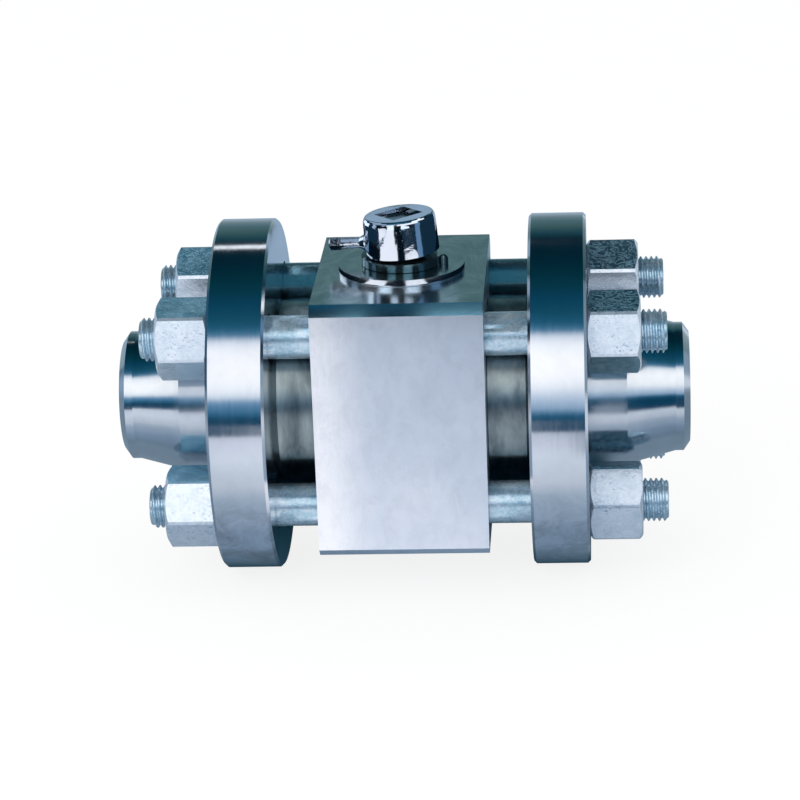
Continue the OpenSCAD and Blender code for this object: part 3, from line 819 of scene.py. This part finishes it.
def one_sided(name, seen_from, spans, material, t, color):
    """Upright or level card near the valve that rays from one side see, such as "+x".

    The spans are x, y and z in mm, z from the flow axis: a pair along each edge and one number for the plane.
    """
    behind = t.add("ShaderNodeNewGeometry").outputs["Backfacing"]
    glow = t.add("ShaderNodeEmission", {"Color": color})
    clear = t.add("ShaderNodeBsdfTransparent")
    both = t.add("ShaderNodeMixShader", {0: behind, 1: glow.outputs[0], 2: clear.outputs[0]})
    t.add("ShaderNodeOutputMaterial", {"Surface": both.outputs[0]})
    axis = "xyz".index(seen_from[1])
    first, second = (axis + 1) % 3, (axis + 2) % 3
    order = [(0, 0), (1, 0), (1, 1), (0, 1)]
    if seen_from[0] == "-":
        order.reverse()
    corners = []
    for i, j in order:
        corner = list(spans)
        corner[first] = spans[first][i]
        corner[second] = spans[second][j]
        x, y, z = corner
        corners.append((x * MM, y * MM, AXIS_H + z * MM))
    for_gloss(name, flat_mesh(name, corners), material)


def card(name, seen_from, x, y, z, color):
    """One-sided card of one colour."""
    one_sided(name, seen_from, (x, y, z), *new_material(name), color + (1,))


BLACK = (0.001, 0.006, 0.012)
NAVY = (0.008, 0.03, 0.055)
SHADE = (0.05, 0.17, 0.23)
BLUE = (0.14, 0.27, 0.44)
PALE_BLUE = (0.3, 0.43, 0.56)
LEVER_BLUE = (0.34, 0.44, 0.58)
STEEL_BLUE = (0.42, 0.55, 0.72)
LIGHT = (0.78, 0.84, 0.94)
WHITE = (1.1, 1.12, 1.18)
SILVER = (1.15, 1.32, 1.5)
HOT_WHITE = (1.3, 1.36, 1.4)

# Sides of the box of cards round the hub, and the height of its foot above the flow axis
BOX_LEFT, BOX_RIGHT, BOX_FRONT, BOX_TOP = -46, 46, -60, 96
ROOF = 48.75

# In front of the hub: x span, z span and colour
FRONT_FLAGS = [
    ((-46, -14), (ROOF, 56), WHITE), ((-14, 11), (50, 56), BLACK), ((11, 46), (44, 58), NAVY),
    ((-46, -39), (56, BOX_TOP), BLACK), ((-39, -14), (56, 80), SILVER), ((-14, 8), (56, BOX_TOP), BLACK),
    ((8, 35), (58, 80), SILVER), ((35, 46), (58, BOX_TOP), BLACK), ((-39, -14), (80, BOX_TOP), BLACK),
    ((8, 35), (80, BOX_TOP), BLACK),
]

# To the left of the hub: y span, z span and colour
LEFT_FLAGS = [
    ((-60, -20), (57, BOX_TOP), BLACK), ((-20, -9), (58, 78), STEEL_BLUE), ((-20, -9), (78, BOX_TOP), NAVY),
    ((-9, 3), (58, BOX_TOP), NAVY), ((3, 45), (58, 78), SILVER), ((3, 45), (78, BOX_TOP), NAVY),
    ((-28, 45), (ROOF, 58), NAVY),
]

# Other cards: name, side that sees it, x, y and z, and colour
CARDS = [
    ("card_left", "+x", BOX_LEFT, (-60, -28), (ROOF, 57), WHITE),
    ("card_right", "-x", BOX_RIGHT, (-42, -25), (ROOF, BOX_TOP), BLUE),
    ("flag_right", "-x", BOX_RIGHT, (-25, 50), (ROOF, BOX_TOP), NAVY),
    ("flag_right_front", "-x", BOX_RIGHT, (-60, -42), (ROOF, BOX_TOP), NAVY),
    ("card_back", "-y", (-34, 18), 60, (81.5, 99), PALE_BLUE),
    ("card_lever", "-z", (-40, -16), (-37, 12), 84, LEVER_BLUE),
    ("card_pin", "-z", (11, 24), (-30, -5), 80, HOT_WHITE),
    # The flag_stud and flag_collar cards are dark sheets between the studs and under the collars, where there
    # is only shade: painted shade that only reflections see
    ("flag_stud_left", "+y", (-54, -31.6), 18, (34, 62), SHADE),
    ("flag_stud_right", "+y", (31.6, 49), 18, (34, 62), SHADE),
    ("flag_collar_left_front", "+z", (-48.5, -31.6), (-34, -10), -22, BLACK),
    ("flag_collar_left_below", "+z", (-48.5, -31.6), (-24, 12), -37, BLACK),
    ("flag_collar_right_front", "+z", (31.6, 48.5), (-34, -10), -22, BLACK),
    ("flag_collar_right_below", "+z", (31.6, 48.5), (-24, 12), -37, BLACK),
    ("card_nut_left", "+y", (-103, -71.5), -80, (24, 54), LIGHT),
    ("card_nut_right", "+y", (69.5, 101), -80, (24, 54), LIGHT),
    ("card_nut_low", "-z", (70, 101), (-64, -50), 4, LIGHT),
]


def make_cards():
    """Small cards and dark flags that the hub, the back studs, the collars and the nuts mirror."""
    for i, (x, z, color) in enumerate(FRONT_FLAGS):
        card(f"flag_front_{i}", "+y", x, BOX_FRONT, z, color)
    for i, (y, z, color) in enumerate(LEFT_FLAGS):
        card(f"flag_left_{i}", "+x", BOX_LEFT, y, z, color)
    for row in CARDS:
        card(*row)


# Parts of the apron: degrees round the stem from the front to the right, and mm from the stem axis
APRON_LIGHT = [((-57, -8), (31, 200)), ((11, 47), (31, 76)), ((-33, -13), (20, 30)), ((7, 27), (20, 31))]
APRON_BLUE = [((47, 66), (31, 200)), ((-130, -105), (31, 200))]


def make_apron():
    """What the hub and the boss mirror just above the block: light left and right of the front, else dark."""
    material, t = new_material("card_apron")
    x, y, _ = t.split(t.add("ShaderNodeTexCoord").outputs["Object"])
    around = t.math("DEGREES", t.math("ARCTAN2", x, t.times(y, -1.0)))
    reach = t.math("SQRT", t.math("ADD", t.times(x, x), t.times(y, y)))

    def within(value, span, soft):
        lo, hi = span
        return t.times(t.band(value, lo - soft, lo + soft), t.band(value, hi + soft, hi - soft))

    def parts(rows):
        total = 0.0
        for turn, (near, far) in rows:
            sector = within(around, turn, 1.5)
            ring = within(reach, (near * MM, far * MM), 0.7 * MM)
            total = t.math("MULTIPLY_ADD", sector, ring, total, clamp=True)
        return total

    color = t.mix(parts(APRON_LIGHT), BLACK + (1,), WHITE + (1,))
    color = t.mix(parts(APRON_BLUE), color, BLUE + (1,))
    one_sided("card_apron", "+z", ((-41, 46), (-80, 60), ROOF), material, t, color)


FLOOR_HALF = 6.0
FLOOR_GLOW = 0.85


def make_floor():
    """Pale paper that takes shadows. The camera and reflections see it brighter than it lights the valve."""
    material, t = new_material("floor_paper")
    path = t.add("ShaderNodeLightPath")
    seen = t.math("MAXIMUM", path.outputs["Is Camera Ray"], path.outputs["Is Transmission Ray"])
    seen = t.math("MAXIMUM", seen, path.outputs["Is Glossy Ray"])
    grain = t.noise(t.add("ShaderNodeTexCoord").outputs["Object"], 900, 3)
    paper_color = t.mix(grain, (0.90, 0.91, 0.92, 1), (0.93, 0.94, 0.95, 1))
    paper = t.add("ShaderNodeBsdfDiffuse", {"Color": paper_color})
    glow = t.add("ShaderNodeEmission", {"Color": (1, 1, 1, 1)})
    share = t.times(seen, FLOOR_GLOW)
    both = t.add("ShaderNodeMixShader", {0: share, 1: paper.outputs[0], 2: glow.outputs[0]})
    t.add("ShaderNodeOutputMaterial", {"Surface": both.outputs[0]})
    half = FLOOR_HALF
    mesh = flat_mesh("floor", [(-half, -half, 0), (half, -half, 0), (half, half, 0), (-half, half, 0)])
    mesh.materials.append(material)
    floor = bpy.data.objects.new("floor", mesh)
    bpy.context.scene.collection.objects.link(floor)


def make_world():
    """Plain white surroundings."""
    world = bpy.data.worlds.new("studio")
    bpy.context.scene.world = world
    world.use_nodes = True
    t = Tree(world.node_tree)
    surroundings = t.add("ShaderNodeBackground", {"Color": (1, 1, 1, 1), "Strength": 1.0})
    t.add("ShaderNodeOutputWorld", {"Surface": surroundings.outputs[0]})


KEY_AT = Vector((-0.7, -1.6, 1.1))
KEY_AIM = Vector((0, 0, 0.05))
KEY_SIZE = (1.2, 1.0)
KEY_POWER = 16


def make_key_light():
    """Soft light from the front left, which reflections don't see."""
    data = bpy.data.lights.new("key", "AREA")
    data.shape = "RECTANGLE"
    data.size, data.size_y = KEY_SIZE
    data.energy = KEY_POWER
    key = bpy.data.objects.new("key", data)
    key.location = KEY_AT
    key.rotation_euler = (KEY_AIM - KEY_AT).to_track_quat("-Z", "Y").to_euler()
    key.visible_glossy = False
    bpy.context.scene.collection.objects.link(key)


make_camera()
make_sky()
make_slit()
make_ground()
make_end_walls()
make_cards()
make_apron()
make_floor()
make_world()
make_key_light()
bpy.context.scene.view_settings.view_transform = "Standard"
